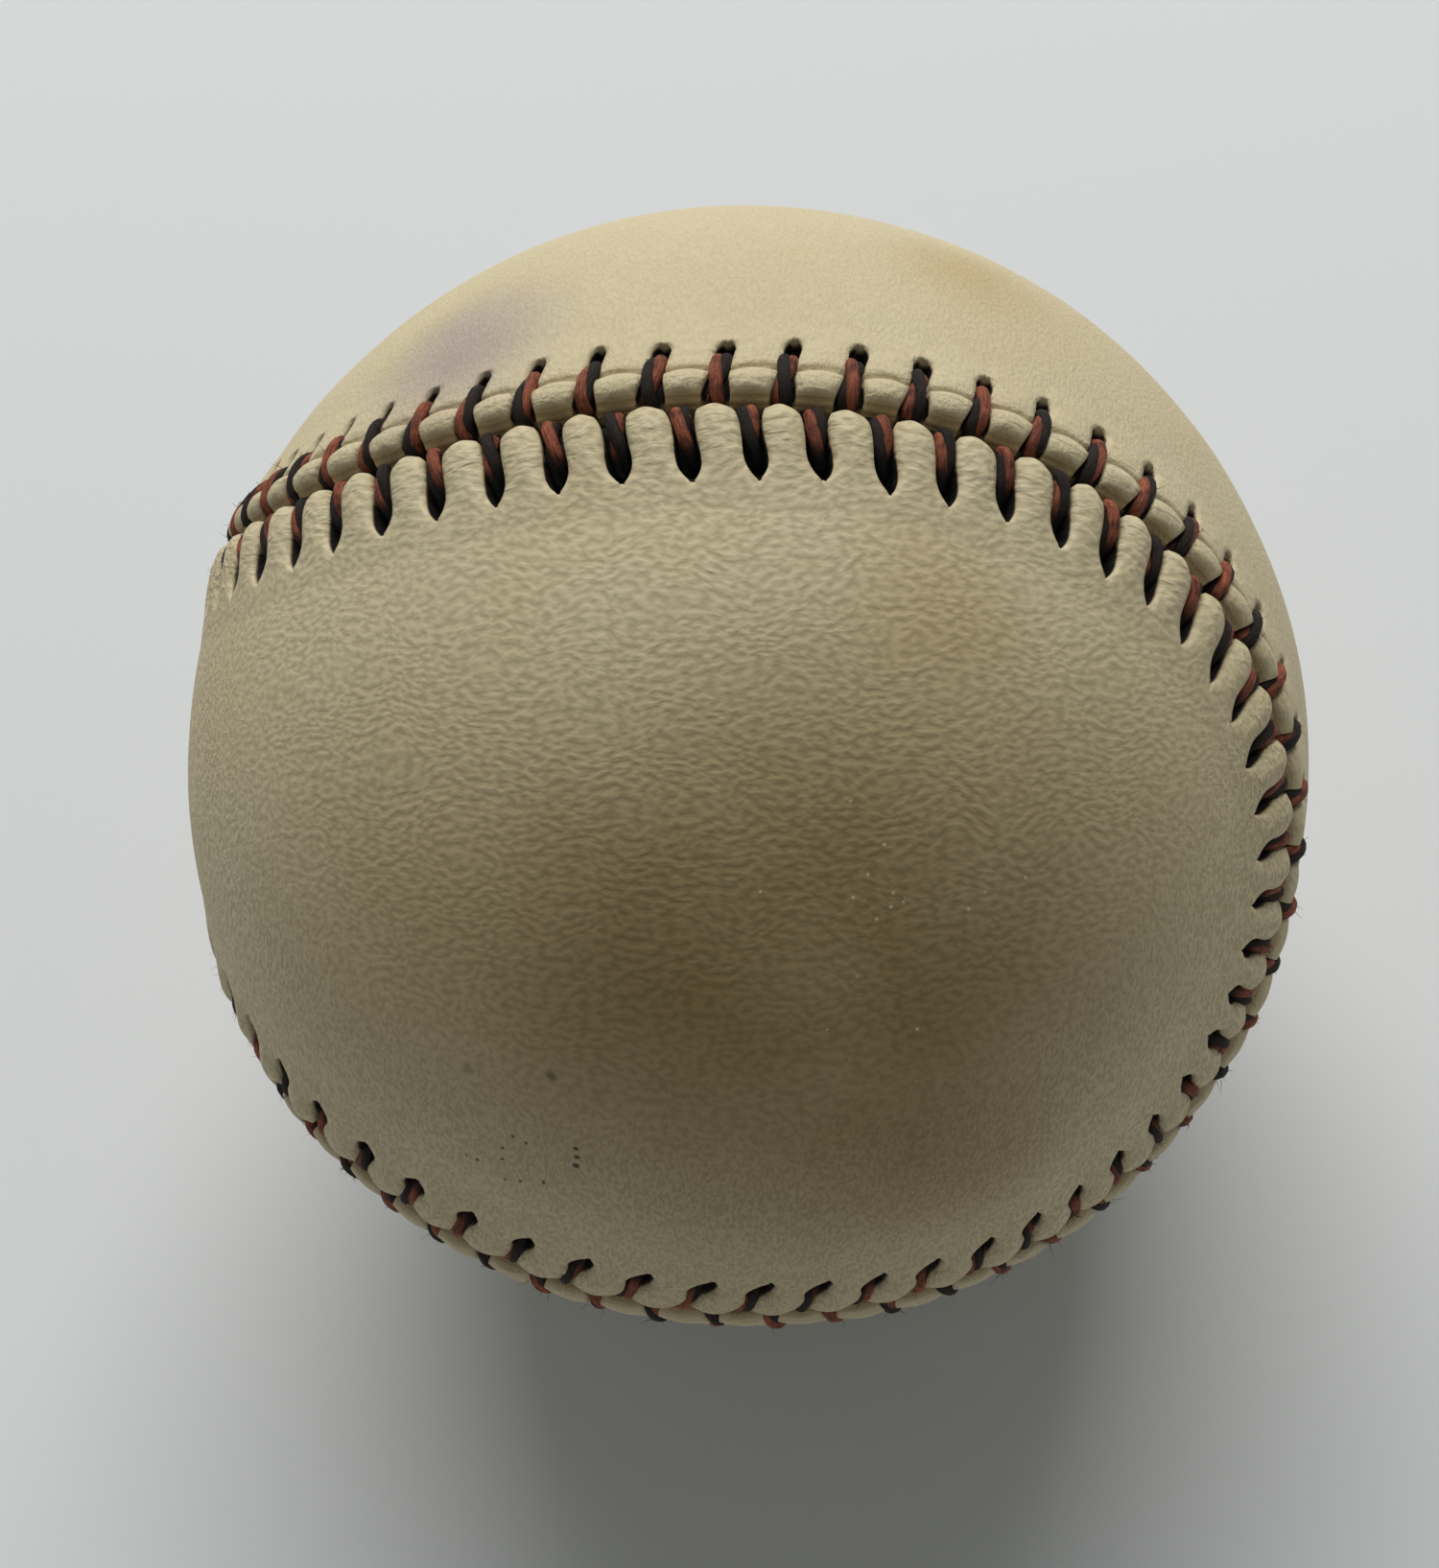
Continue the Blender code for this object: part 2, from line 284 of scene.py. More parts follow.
def on_ball(along, inset, height):
    """Points, in metres, from millimetres along the seam, off to the front panel's side and over the ball."""
    turn = np.interp(np.mod(along, SEAM_LENGTH), SEAM_ALONG, SEAM_TURNS)
    outward = seam_direction(turn)
    ahead = seam_direction(turn + SEAM_NUDGE) - seam_direction(turn - SEAM_NUDGE)
    sideways = np.cross(outward, ahead)
    sideways /= np.linalg.norm(sideways, axis=-1, keepdims=True)
    angle = (np.asarray(inset) / BALL_RADIUS)[..., None]
    direction = outward * np.cos(angle) + sideways * np.sin(angle)
    return direction * (BALL_RADIUS + np.asarray(height))[..., None] * MM


def lump(point):
    """The cover's unevenness over the windings, in metres."""
    swell = SWELL_HEIGHT * noise.noise(point / (SWELL_WIDTH * MM))
    dent = DENT_HEIGHT * noise.noise(point / (DENT_WIDTH * MM))
    return MM * (swell + dent)


def eased(points, at, rounding=CORNER_ROUNDING):
    """A line through (inset, value) points with its corners rounded over some tenths of a millimetre."""
    fine = np.arange(LINE_FROM, LINE_TO, LINE_STEP)
    line = np.interp(fine, *zip(*points))
    window = np.hanning(round(rounding / LINE_STEP) + 1)
    return np.interp(at, fine, np.convolve(line, window / window.sum(), "same"))


def rise(at, start, full):
    """A smooth rise from 0 at start to 1 at full."""
    share = np.clip((at - start) / (full - start), 0, 1)
    return share * share * (3 - 2 * share)


def plateau(at, start, full, fading, end):
    """A smooth rise from 0 at start to 1 at full, and a fall from fading to end."""
    return rise(at, start, full) * rise(at, end, fading)


def slack_at(stitch):
    """How slackly the thread is drawn at a stitch, from 0 to 1."""
    away = np.abs(np.mod(stitch - SLACK_AT + STITCHES / 2, STITCHES) - STITCHES / 2)
    return rise(away, SLACK_REACH, 0)


def slant_at(stitch):
    """How far a slot runs back along the seam for each millimetre away from it."""
    return STITCH_SLANT - SLACK_LEAN * slack_at(stitch)


def chance(seed, spread):
    """One small chance difference for each stitch."""
    return np.random.default_rng(seed).uniform(-spread, spread, STITCHES)


def mapped_grid(bm, columns, rows, placed):
    """A grid with each vertex where placed(column, row) puts it, still open where its ends meet."""
    verts = bmesh.ops.create_grid(bm, x_segments=columns, y_segments=rows, size=0.5)["verts"]
    flat = np.array([v.co[:2] for v in verts]) + 0.5
    column = np.rint(flat[:, 0] * columns).astype(int)
    row = np.rint(flat[:, 1] * rows).astype(int)
    for vert, point in zip(verts, placed(column, row)):
        vert.co = point
    return verts, column, row


def piece_of(name, data, finish, slot, *nodes):
    """A mesh or a curve as a piece that rides on the ball and stands for the given nodes."""
    data.materials.append(finish)
    piece = bpy.data.objects.new(name, data)
    bpy.context.scene.collection.objects.link(piece)
    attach(piece, BODY)
    if nodes:
        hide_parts(*nodes)


def finished(name, bm, finish, slot, *nodes):
    """The bmesh as a smooth piece."""
    mesh = bpy.data.meshes.new(name)
    bm.to_mesh(mesh)
    bm.free()
    mesh.shade_smooth()
    piece_of(name, mesh, finish, slot, *nodes)


def panel_field(bm, side, height, cuts):
    """The smooth middle of a panel: a grid drawn out from lobe to lobe, and the edges of its rim."""
    long, wide = FIELD_COLUMNS, FIELD_ROWS
    cell = SEAM_LENGTH / (2 * (long + wide))
    lobe_end = -side * SEAM_LENGTH / 8
    radius = (BALL_RADIUS + height) * MM

    def rim(cells):
        along = np.array([lobe_end + cells * cell])
        return Vector(on_ball(along, np.array([side * FIELD_REACH]), np.array([height]))[0])

    grid = bmesh.ops.create_grid(bm, x_segments=long, y_segments=wide, size=0.5)["verts"]
    for vert in grid:
        i = round((vert.co.x + 0.5) * long)
        j = round((vert.co.y + 0.5) * wide)
        if i == 0:
            vert.co = rim(wide / 2 - j)
        elif i == long:
            vert.co = rim(wide / 2 + long + j)
        else:
            vert.co = radius * rim(wide / 2 + i).slerp(rim(-wide / 2 - i), j / wide)
    inside = [v for v in grid if not v.is_boundary]
    for _ in range(FIELD_RELAXING):
        bmesh.ops.smooth_vert(bm, verts=inside, factor=0.5, use_axis_x=True, use_axis_y=True, use_axis_z=True)
        for vert in inside:
            vert.co = vert.co.normalized() * radius
    edges = list({e for v in grid for e in v.link_edges})
    finer = bmesh.ops.subdivide_edges(bm, edges=edges, cuts=cuts, use_grid_fill=True)["geom"]
    field = {v for v in finer if isinstance(v, bmesh.types.BMVert)}
    for vert in field:
        vert.co = vert.co.normalized() * radius
    return list({e for v in field for e in v.link_edges if e.is_boundary})


def lacing_band(bm, side, lip, seed):
    """The laced edge of a panel: a slot and a punched hole at each stitch, and a tongue between two.

    Gives the edges where the band meets the field and where it meets the lining.
    """
    tip = lip["rows"][-1]
    edge = eased(lip["crest"], tip + lip["arch"] / 2)
    insets = np.concatenate((lip["rows"], [inset for inset, height in lip["cut"]], [BAND_REACH]))
    shapes = np.concatenate((lip["rows"], [tip] * len(lip["cut"]), [BAND_REACH]))
    drops = [(edge - height) / (edge - UNDERSIDE) for inset, height in lip["cut"]]
    falls = np.concatenate(([0] * len(lip["rows"]), drops, [1]))
    widths, shifts, lifts, ends = (chance(seed + i, spread) for i, spread in enumerate(STITCH_CHANCES))
    facts = {}

    def placed(column, row):
        stitch = column // STITCH_FACES
        across = column % STITCH_FACES / STITCH_FACES - 0.5
        spread = 2 * np.abs(across)
        near = stitch % STITCHES
        beside = (near + np.sign(across).astype(int)) % STITCHES

        def varied(values):
            return values[near] * (1 - spread / 2) + values[beside] * spread / 2

        shape = shapes[row]
        at_stitch = stitch + across + lip["phase"]
        reach = insets[row] + varied(ends) * plateau(shape, *HOLE_SPAN)

        # Along the seam: the slot's floor, its leaning wall, and the tongue up to its middle
        closing = SLACK_CLOSING * slack_at(at_stitch) * plateau(shape, *CLOSING_SPAN)
        slot = eased(lip["slot"], shape) * (1 + varied(widths)) * (1 - closing)
        lean = np.minimum(WALL_LEAN, WALL_LEAN_SHARE * slot)
        on_floor = (slot - lean) * spread / SLOT_FLOOR
        on_wall = slot - lean + lean * (spread - SLOT_FLOOR) / (SLOT_WALL - SLOT_FLOOR)
        on_top = slot + (PITCH / 2 - slot) * (spread - SLOT_WALL) / (1 - SLOT_WALL)
        aside = np.where(spread < SLOT_FLOOR, on_floor, np.where(spread < SLOT_WALL, on_wall, on_top))
        along = (stitch + lip["phase"]) * PITCH + np.sign(across) * aside
        along += varied(shifts) - slant_at(at_stitch) * reach

        # Over the ball: the crest, less the sag of a tongue's sides and the depth of a slot
        pinch = lip["arch"] * (1 - np.sin(spread * math.pi / 2))
        crest = eased(lip["crest"], shape + pinch) + varied(lifts) * rise(shape, BAND_REACH, LIFT_FULL)
        pillow = np.sin(np.clip((spread - SLOT_WALL) / (1 - SLOT_WALL), 0, 1) * math.pi / 2)
        sagged = eased(lip["sag"], shape) * (1 - pillow)
        sunk = eased(lip["depth"], shape, SLOT_ROUNDING) * (1 - rise(spread, SLOT_FLOOR, SLOT_WALL))
        height = (crest - sagged - sunk) * (1 - falls[row]) + UNDERSIDE * falls[row]

        turn = 2 * math.pi * along / SEAM_LENGTH
        hoop = SEAM_LENGTH / (2 * math.pi)
        facts["lace"] = np.stack((hoop * np.cos(turn), hoop * np.sin(turn), reach), axis=-1)
        # Dirt and painted shade: the deeper a slot or hole sinks, the darker it is painted
        facts["soil_and_shade"] = rise(sunk, *SHADE_AND_SOIL_DEPTHS)
        facts["cut_edge"] = np.where((falls[row] > 0) & (reach < PAST_CUT), rise(spread, 0, 0.5), 0)
        return on_ball(along, side * reach, height)

    columns = STITCHES * STITCH_FACES
    verts, column, row = mapped_grid(bm, columns, len(insets) - 1, placed)
    lace = bm.verts.layers.float_vector["lace"]
    soil_and_shade = bm.verts.layers.float["soil_and_shade"]
    cut_edge = bm.verts.layers.float["cut_edge"]
    for i, vert in enumerate(verts):
        vert[lace] = facts["lace"][i]
        vert[soil_and_shade] = facts["soil_and_shade"][i]
        vert[cut_edge] = facts["cut_edge"][i]
    joint = [v for v, c in zip(verts, column) if c in (0, columns)]
    bmesh.ops.remove_doubles(bm, verts=joint, dist=TOLERANCE * MM)

    def rim(end):
        ring = [v for v, r in zip(verts, row) if v.is_valid and r == end]
        return list({e for v in ring for e in v.link_edges if e.is_boundary})

    return rim(0), rim(len(insets) - 1)


def cover_panel(name, node, side, lip, finish, seed):
    """One figure-eight panel of the cover, closed by its underside."""
    bm = bmesh.new()
    lace = bm.verts.layers.float_vector.new("lace")
    bm.verts.layers.float.new("soil_and_shade")
    bm.verts.layers.float.new("cut_edge")
    field_rim = panel_field(bm, side, 0, FIELD_CUTS)
    lining_rim = panel_field(bm, side, UNDERSIDE, LINING_CUTS)
    for vert in bm.verts:
        vert[lace] = (0, 0, FIELD_REACH)
    foot, hem = lacing_band(bm, side, lip, seed)
    bmesh.ops.bridge_loops(bm, edges=field_rim + foot)
    bmesh.ops.bridge_loops(bm, edges=lining_rim + hem)
    lining_radius = (BALL_RADIUS + UNDERSIDE + TOLERANCE) * MM
    for vert in bm.verts:
        if vert.co.length > lining_radius:
            vert.co += vert.co.normalized() * lump(vert.co)
    bmesh.ops.recalc_face_normals(bm, faces=bm.faces[:])
    finished(name, bm, finish, "leather", node)


def thread_route():
    """The thread's middle line, once round the ball: a Catmull-Rom curve through the points of its runs."""
    route = []
    for half in range(2 * STITCHES):
        side, run = (FRONT, FRONT_RUN) if half % 2 == 0 else (BACK, BACK_RUN)
        for inset, height in run:
            route.append((half / 2 * PITCH - slant_at(half / 2) * inset, side * inset, height))
        route.append(((half + 0.5) / 2 * PITCH, side * UNDER_RUN[0], UNDER_RUN[1]))
    knots = np.array(route)
    lap = np.array((SEAM_LENGTH, 0, 0))
    before = np.roll(knots, 1, axis=0)
    before[0] -= lap
    after = np.roll(knots, -1, axis=0)
    after[-1] += lap
    beyond = np.roll(knots, -2, axis=0)
    beyond[-2:] += lap
    points = []
    for share in np.arange(ROUTE_STEPS) / ROUTE_STEPS:
        points.append(0.5 * (2 * knots + (after - before) * share
                             + (2 * before - 5 * knots + 4 * after - beyond) * share ** 2
                             + (3 * knots - before - 3 * after + beyond) * share ** 3))
    line = np.stack(points, axis=1).reshape(-1, 3)
    path = on_ball(line[:, 0], line[:, 1], line[:, 2])
    return path + np.array([Vector(p).normalized() * lump(Vector(p)) for p in path])


def thread_frames(path):
    """Unit vectors sideways and away from the ball's middle at each point of a line over the ball."""
    ahead = np.gradient(path, axis=0)
    aside = np.cross(ahead, path)
    aside /= np.linalg.norm(aside, axis=1, keepdims=True)
    up = np.cross(aside, ahead)
    return aside, up / np.linalg.norm(up, axis=1, keepdims=True)


def laid_tube(bm, middle, aside, up, length, radius, sides, sunk):
    """A tube along a line, with UVs along it and round it, and the dirt and painted shade that it carries at
    each point.
    """
    threadwise = bm.loops.layers.uv.new("threadwise")
    soil_and_shade = bm.verts.layers.float.new("soil_and_shade")
    count = len(middle)
    last = len(length) - 1

    def placed(column, row):
        at = column % count
        angle = 2 * math.pi * row[:, None] / sides
        return middle[at] + radius * MM * (np.cos(angle) * aside[at] + np.sin(angle) * up[at])

    verts, column, row = mapped_grid(bm, last, sides, placed)
    places = {}
    for vert, c, r in zip(verts, column, row):
        vert[soil_and_shade] = sunk[c % count]
        places[vert] = (length[c], r / sides)
    for face in bm.faces:
        for corner in face.loops:
            corner[threadwise].uv = places[corner.vert]
    joints = [v for v, c, r in zip(verts, column, row) if c in (0, last) or r in (0, sides)]
    bmesh.ops.remove_doubles(bm, verts=joints, dist=FINE_TOLERANCE * MM)
    bmesh.ops.holes_fill(bm, edges=[e for e in bm.edges if e.is_boundary], sides=sides)


def thread_ply(name, path, finish, start):
    """One ply of the thread, laid round its middle line from a starting angle."""
    aside, up = thread_frames(path)
    length = length_along(np.concatenate((path, path[:1])))
    twist = start + 2 * math.pi * round(length[-1] / (PLY_LAY * MM)) * length[:-1, None] / length[-1]
    middle = path + PLY_SPREAD * MM * (np.cos(twist) * aside + PLY_FLATNESS * np.sin(twist) * up)
    # Dirt and painted shade: the ply is painted black where it sinks into the ball
    sunk = rise(BALL_RADIUS - np.linalg.norm(path, axis=1) / MM, *PLY_SHADE_AND_SOIL_DEPTHS)
    bm = bmesh.new()
    laid_tube(bm, middle, aside, up, length, PLY_RADIUS, PLY_SIDES, sunk)
    bmesh.ops.recalc_face_normals(bm, faces=bm.faces[:])
    finished(name, bm, finish, "waxed_thread", "lacing_thread")


def frayed_fibres(name, path, finish, count, seed):
    """Fibres that stand off the thread where it crosses the lips, finer than the plies they come from."""
    random = np.random.default_rng(seed)
    aside, up = thread_frames(path)
    showing = np.flatnonzero(np.linalg.norm(path, axis=1) > (BALL_RADIUS - FIBRE_DEPTH) * MM)
    made = bpy.data.curves.new(name, "CURVE")
    made.dimensions = "3D"
    made.bevel_depth = FIBRE_RADIUS * MM
    made.bevel_resolution = 0
    made.use_fill_caps = True
    for at in random.choice(showing, count):
        ahead = np.cross(up[at], aside[at])
        lean = random.uniform(-1, 1, 2)
        way = FIBRE_RISE * up[at] + lean[0] * aside[at] + lean[1] * ahead
        curl = random.uniform(-FIBRE_CURL, FIBRE_CURL, 3)
        length = random.uniform(*FIBRE_LENGTHS) * MM
        root = path[at] + (FIBRE_ROOT[0] * lean[0] * aside[at] + FIBRE_ROOT[1] * up[at]) * MM
        fibre = made.splines.new("POLY")
        fibre.points.add(FIBRE_POINTS - 1)
        for point, share in zip(fibre.points, np.linspace(0, 1, FIBRE_POINTS)):
            point.co = (*(root + length * (share * way + share ** 2 * curl)), 1)
            point.radius = FIBRE_TIP + 1 - share
    piece_of(name, made, finish, "waxed_thread")


def turned(bm, profile):
    """A closed solid from a closed (x, radius) profile in millimetres, turned about the pill's axis."""
    verts = [bm.verts.new((x * MM, radius * MM, 0)) for x, radius in profile]
    edges = [bm.edges.new((verts[i - 1], verts[i])) for i in range(len(verts))]
    bmesh.ops.spin(bm, geom=verts + edges, cent=(0, 0, 0), axis=(1, 0, 0), angle=2 * math.pi,
                   steps=TURN_STEPS, use_merge=True)
    bmesh.ops.remove_doubles(bm, verts=bm.verts[:], dist=FINE_TOLERANCE * MM)
    bmesh.ops.dissolve_degenerate(bm, edges=bm.edges[:], dist=FINE_TOLERANCE * MM)
    bmesh.ops.delete(bm, geom=[e for e in bm.edges if e.is_wire], context="EDGES")
    bmesh.ops.recalc_face_normals(bm, faces=bm.faces[:])


def pill_shell(name, node, inside, side, finish, slot):
    """One rubber bowl of the pill, with the edges of its rim rounded."""
    low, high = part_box(node)
    rim = min(abs(low.x), abs(high.x)) / MM
    walls = []
    for radius in (high.y / MM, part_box(inside)[1].y / MM + LAYER_GAP):
        edge = math.acos((rim + RIM_ROUNDING) / radius)
        angles = np.linspace(0, edge, TURN_STEPS // 2)
        walls.append([(side * radius * math.cos(a), radius * math.sin(a)) for a in angles])
    outer, inner = walls
    rim_line = [(side * rim, outer[-1][1] - RIM_ROUNDING), (side * rim, inner[-1][1] + RIM_ROUNDING)]
    bm = bmesh.new()
    turned(bm, outer + rim_line + inner[::-1])
    finished(name, bm, finish, slot, node)


def pill_ring(name, node, inside, finish, slot):
    """The washer between the bowls, with rounded edges."""
    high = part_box(node)[1] / MM
    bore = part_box(inside)[1].y / MM + LAYER_GAP
    side, rim = high.x - RIM_ROUNDING, high.y - RIM_ROUNDING
    bm = bmesh.new()
    turned(bm, [(high.x, bore + RIM_ROUNDING), (high.x, rim), (side, high.y), (-side, high.y), (-high.x, rim),
                (-high.x, bore + RIM_ROUNDING), (-side, bore), (side, bore)])
    finished(name, bm, finish, slot, node)


def cork_ball(name, node, finish, slot):
    """The cork ball, uneven by its granules."""
    bm = bmesh.new()
    radius = max(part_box(node)[1])
    for vert in bmesh.ops.create_icosphere(bm, subdivisions=CORK_FINENESS, radius=radius)["verts"]:
        vert.co *= 1 - CORK_UNEVENNESS * noise.cell(vert.co / (CORK_GRANULE * MM))
    finished(name, bm, finish, slot, node)


def wound_layer(name, node, inside, yarn, loops, finish, slot):
    """One winding: a single yarn that goes round and round in turning circles over a hollow ball of yarn."""
    outer = max(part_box(node)[1]) / MM
    hollow = max(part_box(inside)[1]) / MM + LAYER_GAP / 2
    share = np.arange(loops * LOOP_POINTS + 1)[:, None] / (loops * LOOP_POINTS)
    around = 2 * math.pi * loops * share
    heading = LOOP_TURN * loops * share
    tilt = np.arccos(1 - share)
    flat = np.zeros_like(share)
    first = np.hstack((np.cos(heading), np.sin(heading), flat))
    second = np.hstack((-np.sin(heading) * np.cos(tilt), np.cos(heading) * np.cos(tilt), np.sin(tilt)))
    level = outer - yarn / 2 - YARN_SETTLING * yarn * (1 - share)
    path = (np.cos(around) * first + np.sin(around) * second) * level * MM
    bm = bmesh.new()
    aside, up = thread_frames(path)
    laid_tube(bm, path, aside, up, length_along(path), yarn / 2, YARN_SIDES, flat[:, 0])
    bmesh.ops.create_icosphere(bm, subdivisions=BED_FINENESS, radius=(outer - YARN_BED * yarn) * MM)
    bmesh.ops.recalc_face_normals(bm, faces=bm.faces[:])
    lining = bmesh.ops.create_icosphere(bm, subdivisions=BED_FINENESS, radius=hollow * MM)["verts"]
    bmesh.ops.reverse_faces(bm, faces=list({f for v in lining for f in v.link_faces}))
    finished(name, bm, finish, slot, node)


def camera_matrix():
    """The place and the turn of the photograph's camera."""
    at = Vector(CAMERA_AT) * MM
    look = (Vector(CAMERA_AIM) * MM - at).normalized()
    roll = Matrix.Rotation(math.radians(CAMERA_ROLL), 3, look)
    return Matrix.Translation(at) @ (roll @ look.to_track_quat("-Z", "Y").to_matrix()).to_4x4()


def seen_at(x, y):
    """The point of the ball that the photograph shows at a pixel."""
    camera = camera_matrix()
    ray = Vector((x - PHOTO_WIDTH / 2, PHOTO_HEIGHT / 2 - y, -FOCAL_PIXELS)).normalized()
    ray = camera.to_3x3() @ ray
    start = camera.translation
    along = -start.dot(ray)
    miss = start.length_squared - along ** 2
    return start + ray * (along - math.sqrt(max((BALL_RADIUS * MM) ** 2 - miss, 0)))


def linear(hex_colour):
    """A hex sRGB colour as linear RGBA."""
    channels = [int(hex_colour[i : i + 2], 16) / 255 for i in (1, 3, 5)]
    return (*[c / 12.92 if c <= 0.04045 else ((c + 0.055) / 1.055) ** 2.4 for c in channels], 1)


def per(size):
    """The texture scale at which one feature measures size millimetres."""
    return 1 / (size * MM)


def add(tree, kind, links=None, **settings):
    """A node with its settings, its inputs given as values or as the sockets that feed them."""
    made = tree.nodes.new(kind)
    for key, value in settings.items():
        setattr(made, key, value)
    for key, value in (links or {}).items():
        if isinstance(value, bpy.types.NodeSocket):
            tree.links.new(value, made.inputs[key])
        else:
            made.inputs[key].default_value = value
    return made


def started(name, **sockets):
    """A new material with its node tree and its Principled shader, whose plain values are set."""
    made = bpy.data.materials.new(name)
    made.use_nodes = True
    tree = made.node_tree
    shader = tree.nodes["Principled BSDF"]
    for key, value in sockets.items():
        shader.inputs[key.replace("_", " ")].default_value = value
    return made, tree, shader


def hide_grain(tree, place, wrinkled, pebbled):
    """The height of the grain from 0 to 1, and the share of it that is wrinkles.

    Short wrinkles run sideways over the worn side, and a fine pebble covers the rest.
    """
    drift = add(tree, "ShaderNodeTexNoise", {"Vector": place, "Scale": per(DRIFT_SIZE), "Detail": 1})
    pulled = add(tree, "ShaderNodeVectorMath",
                 {0: drift.outputs["Color"], 1: (DRIFT * MM, DRIFT * MM, DRIFT * MM), 2: place},
                 operation="MULTIPLY_ADD").outputs[0]
    upright = camera_matrix().to_3x3().inverted().to_euler()
    level = add(tree, "ShaderNodeMapping", {"Vector": pulled, "Rotation": upright}).outputs[0]

    axes = add(tree, "ShaderNodeSeparateXYZ", {0: level}).outputs
    angle = add(tree, "ShaderNodeMath", {0: axes["X"], 1: axes["Z"]}, operation="ARCTAN2").outputs[0]
    girth = add(tree, "ShaderNodeMath", {0: angle, 1: WRINKLE_STRETCH * BALL_RADIUS * MM},
                operation="MULTIPLY").outputs[0]
    wrapped = add(tree, "ShaderNodeCombineXYZ", {"X": girth, "Y": axes["Y"]}).outputs[0]
    wrinkles = add(tree, "ShaderNodeTexNoise", {"Vector": wrapped, "Scale": per(WRINKLE_SIZE), "Detail": 0.7,
                                                "Roughness": 0.4}).outputs[0]

    ribbed = add(tree, "ShaderNodeMapping", {"Vector": level,
                                             "Scale": (1, PEBBLE_STRETCH, PEBBLE_STRETCH)}).outputs[0]
    pebble = add(tree, "ShaderNodeTexNoise", {"Vector": ribbed, "Scale": per(PEBBLE_SIZE), "Detail": 2,
                                              "Roughness": 0.6}).outputs[0]
    pebble = add(tree, "ShaderNodeMapRange", {"Value": pebble, "From Min": 0.3, "From Max": 0.7,
                                              "To Min": 0.5 - pebbled, "To Max": 0.5 + pebbled}).outputs[0]

    worn = seen_at(*WRINKLED_AT).normalized() / (BALL_RADIUS * MM)
    facing = add(tree, "ShaderNodeVectorMath", {0: place, 1: worn}, operation="DOT_PRODUCT").outputs["Value"]
    creased = add(tree, "ShaderNodeMapRange", {"Value": facing, "From Min": 0.5, "From Max": 0.78,
                                               "To Max": wrinkled},
                  interpolation_type="SMOOTHSTEP").outputs[0]
    grain = add(tree, "ShaderNodeMix", {0: creased, 2: pebble, 3: wrinkles}).outputs[0]
    return grain, creased


def aged_colour(tree, place, grain, pebbled):
    """The tan of handled leather: unevenly yellowed, with dirt and painted shade in its folds, stains, darker
    patches over the front that are partly painted shade, specks and scuffs.
    """
    tone = add(tree, "ShaderNodeTexNoise", {"Vector": place, "Scale": per(YELLOWING_SIZE), "Detail": 3})
    colour = add(tree, "ShaderNodeMix", {0: tone.outputs[0], 6: linear("#c9b88d"), 7: linear("#d3c6a4")},
                 data_type="RGBA").outputs[2]
    # Dirt and painted shade in the folds: the grain's low places are painted darker
    fold_dirt_and_shade = add(tree, "ShaderNodeMapRange", {"Value": grain, "From Min": 0.64, "From Max": 0.32,
                                             "To Max": 0.95 * pebbled},
                interpolation_type="SMOOTHSTEP").outputs[0]
    colour = add(tree, "ShaderNodeMix", {0: fold_dirt_and_shade, 6: colour, 7: linear("#8f7f5a")},
                 data_type="RGBA").outputs[2]

    blotch = add(tree, "ShaderNodeTexNoise", {"Vector": place, "Scale": per(PATCH_SIZE), "Detail": 2})
    patchy = add(tree, "ShaderNodeMapRange", {"Value": blotch.outputs[0], "From Min": 0.25, "From Max": 0.75,
                                              "To Min": 0.72}).outputs[0]
    for pixel, inner, outer, strength, stain_and_shade in STAINS_AND_SHADE:
        away = add(tree, "ShaderNodeVectorMath", {0: place, 1: seen_at(*pixel)}, operation="DISTANCE")
        near = add(tree, "ShaderNodeMapRange", {"Value": away.outputs["Value"], "From Min": outer * MM,
                                                "From Max": inner * MM, "To Max": strength},
                   interpolation_type="SMOOTHSTEP").outputs[0]
        share = add(tree, "ShaderNodeMath", {0: near, 1: patchy}, operation="MULTIPLY").outputs[0]
        colour = add(tree, "ShaderNodeMix", {0: share, 6: colour, 7: linear(stain_and_shade)}, data_type="RGBA",
                     blend_type="MULTIPLY").outputs[2]

    for pixel, spread, size, strength, fleck in FLECKS:
        away = add(tree, "ShaderNodeVectorMath", {0: place, 1: seen_at(*pixel)}, operation="DISTANCE")
        near = add(tree, "ShaderNodeMapRange", {"Value": away.outputs["Value"], "From Min": spread * MM,
                                                "From Max": 0, "To Max": strength}).outputs[0]
        dots = add(tree, "ShaderNodeTexVoronoi", {"Vector": place, "Scale": per(4 * size)}).outputs
        chosen = add(tree, "ShaderNodeSeparateXYZ", {0: dots["Color"]}).outputs["X"]
        chosen = add(tree, "ShaderNodeMath", {0: chosen, 1: near}, operation="LESS_THAN").outputs[0]
        dot = add(tree, "ShaderNodeMapRange", {"Value": dots["Distance"], "From Min": 0.2,
                                               "From Max": 0.1}).outputs[0]
        share = add(tree, "ShaderNodeMath", {0: dot, 1: chosen}, operation="MULTIPLY").outputs[0]
        colour = add(tree, "ShaderNodeMix", {0: share, 6: colour, 7: linear(fleck)},
                     data_type="RGBA").outputs[2]
    return colour


